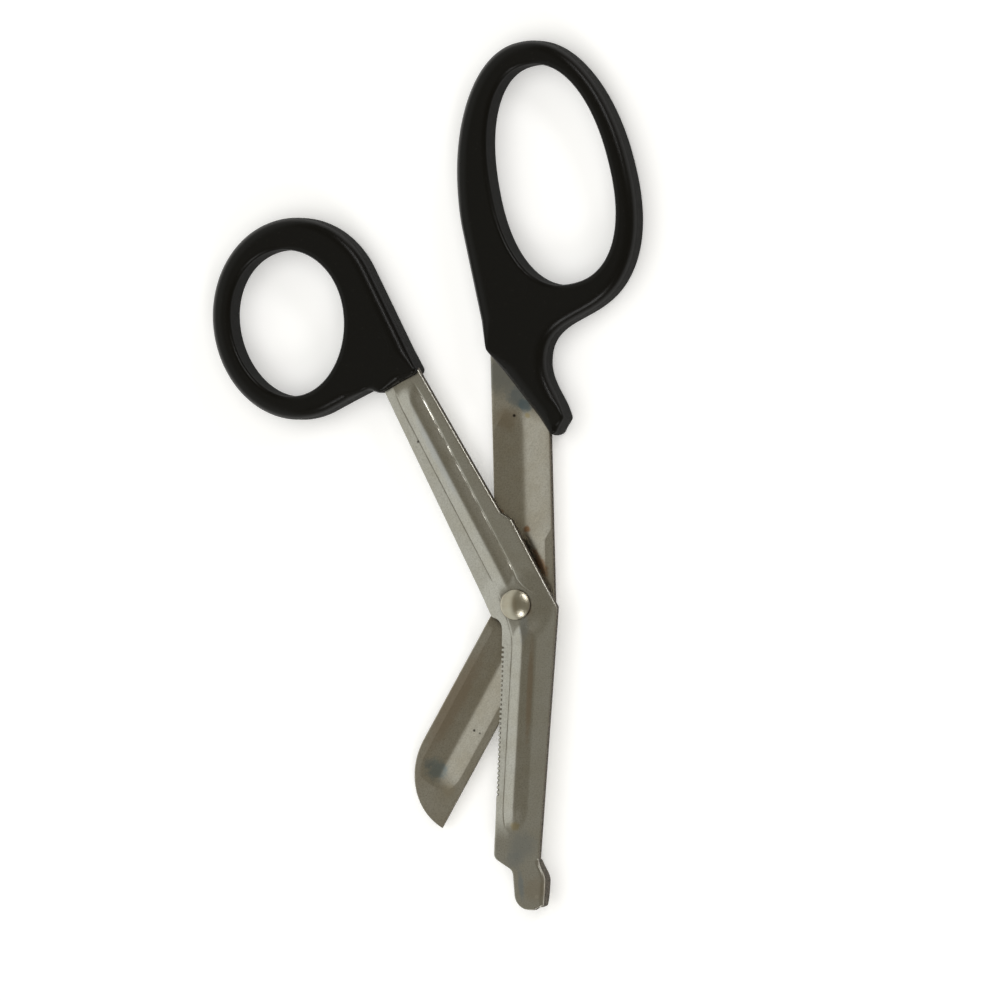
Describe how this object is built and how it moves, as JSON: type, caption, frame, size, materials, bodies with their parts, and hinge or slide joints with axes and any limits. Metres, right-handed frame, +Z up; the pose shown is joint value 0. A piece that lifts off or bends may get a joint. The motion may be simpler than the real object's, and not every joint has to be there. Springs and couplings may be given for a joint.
{
  "type": "bandage scissors",
  "caption": "Angled shears with moulded finger loops and bent blades; one blade has small teeth and a blunt guarded nose that slides under a dressing.",
  "frame": {"origin": "middle of the surface the scissors lie on, under the centre of their bounding box", "axes": "+Y from the blade tips towards the finger handle, +X towards the finger handle's side, +Z up through the rivet from tail to head"},
  "size_m": [0.0928, 0.1834, 0.0086],
  "materials": {
    "upper_blade": "stamped stainless sheet, lightly stained",
    "lower_blade": "stamped stainless sheet, lightly stained",
    "finger_handle": "black moulded plastic, satin",
    "thumb_handle": "black moulded plastic, satin",
    "pivot_rivet": "polished rivet head"
  },
  "bodies": {
    "upper_arm": {"upper_blade": "upper_blade", "finger_handle": "finger_handle", "pivot_rivet": "pivot_rivet"},
    "lower_arm": {"lower_blade": "lower_blade", "thumb_handle": "thumb_handle"}
  },
  "joints": [
    {"name": "blade_pivot", "type": "hinge", "parent": "upper_arm", "child": "lower_arm", "pos_m": [0.02012, -0.02735, 0.0045], "axis": [0, 0, 1], "range_deg": [-15.5, 150]}
  ]
}
